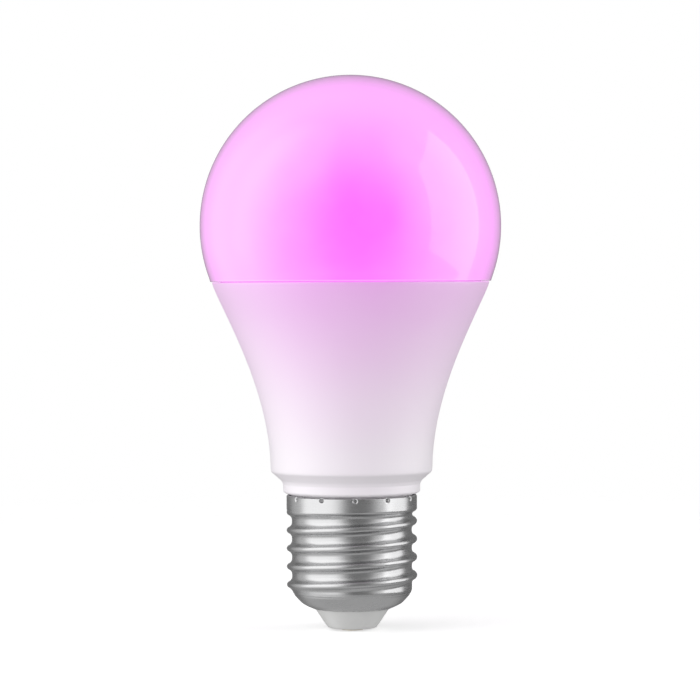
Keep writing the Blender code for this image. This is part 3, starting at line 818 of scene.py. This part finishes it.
def softbox(name, centre, target, width, height, radiance, gloss=True):
    """A rectangular light whose face has this radiance."""
    light = bpy.data.lights.new(name, "AREA")
    light.shape = "RECTANGLE"
    light.size, light.size_y = width, height
    light.energy = radiance * width * height * math.pi
    obj = bpy.data.objects.new(name, light)
    scene.collection.objects.link(obj)
    obj.location = centre
    obj.rotation_euler = (Vector(target) - Vector(centre)).to_track_quat("-Z", "Y").to_euler()
    obj.visible_camera = False
    obj.visible_glossy = gloss
    return obj


def studio_world():
    """Soft light from all round: a broad pale wall on the left, dimmer in front and behind. White to the eye."""
    world = bpy.data.worlds.new("studio_world")
    world.use_nodes = True
    scene.world = world
    w = Nodes(world.node_tree)
    back = w.tree.nodes["Background"]
    way = w.node("ShaderNodeTexCoord").outputs["Generated"]
    s = w.node("ShaderNodeSeparateXYZ")
    w.link(way, s.inputs[0])
    around = w.math("ARCTAN2", s.outputs["X"], w.math("MULTIPLY", s.outputs["Y"], -1.0))
    up = w.math("ARCSINE", s.outputs["Z"])

    def window(value, a, b, c, d):
        """1 between the angles b and c, falling away to 0 at a and d."""
        rise = w.ranged(value, math.radians(a), math.radians(b), 0.0, 1.0, True)
        fall = w.ranged(value, math.radians(c), math.radians(d), 1.0, 0.0, True)
        return w.math("MULTIPLY", rise, fall)

    total = WORLD_BASE
    for level, across, height in WORLD_WALLS:
        patch = w.math("MULTIPLY", window(around, *across), window(up, *height))
        total = w.math("ADD", w.math("MULTIPLY", patch, level), total)
    eye = w.node("ShaderNodeLightPath").outputs["Is Camera Ray"]
    strength = w.math("ADD", w.math("MULTIPLY", eye, 1.0), w.math("MULTIPLY", total, w.math("SUBTRACT", 1.0, eye)))
    back.inputs["Color"].default_value = (1.0, 1.0, 1.0, 1.0)
    w.link(strength, back.inputs["Strength"])


FLOOR_GLOW = 0.40
WORLD_BASE = 0.24
WORLD_WALLS = [
    (1.42, (-107, -84, -36, -2), (-62, 6, 44, 80)),
    (0.42, (-142, -118, -100, -78), (-60, -10, 40, 70)),
    (0.72, (30, 52, 64, 84), (-40, 5, 44, 76)),
    (-0.03, (100, 128, 181, 182), (-70, -30, 50, 80)),
    (0.30, (-182, -181, 181, 182), (-92, -91, -44, -20)),
]
stage_floor()
softbox("softbox_right", (0.6225, -0.0925, 0.271), (0.6225 - 0.925, -0.0925 - 0.381, 0.271), 0.643, 0.85, 1.30)
softbox("fill_front", (-0.05, -1.10, 0.25), (0, 0, 0.05), 1.0, 0.8, 1.24, gloss=False)
softbox("fill_right", (1.0, 0.02, 0.12), (0, 0, 0.05), 0.8, 0.8, 0.95, gloss=False)
softbox("fill_left", (-0.95, -0.35, 0.12), (0, 0, 0.05), 0.8, 0.8, 0.48, gloss=False)
softbox("fill_back", (0.0, 1.05, 0.20), (0, 0, 0.05), 0.9, 0.9, 0.55, gloss=False)
softbox("fill_top", (0.0, 0.0, 0.95), (0, 0, 0.0), 0.9, 0.9, 0.22, gloss=False)
studio_world()

camera = bpy.data.cameras.new("camera")
camera.sensor_width = 36.0
half = math.atan(70.0 / 620.0)
camera.lens = 18.0 / math.tan(half)
camera.clip_start, camera.clip_end = 0.05, 20.0
cam = bpy.data.objects.new("camera", camera)
scene.collection.objects.link(cam)
eye = Vector((-0.0002, -0.620, 0.068))
aim = Vector((-0.0002, 0.0, 0.056))
look = (aim - eye).to_track_quat("-Z", "Y")
roll = Matrix.Rotation(math.radians(-0.28), 4, "Z")
cam.matrix_world = Matrix.Translation(eye) @ look.to_matrix().to_4x4() @ roll
scene.camera = cam

scene.view_settings.view_transform = "Standard"
scene.view_settings.look = "None"
scene.view_settings.exposure = 0.0
scene.view_settings.gamma = 1.0
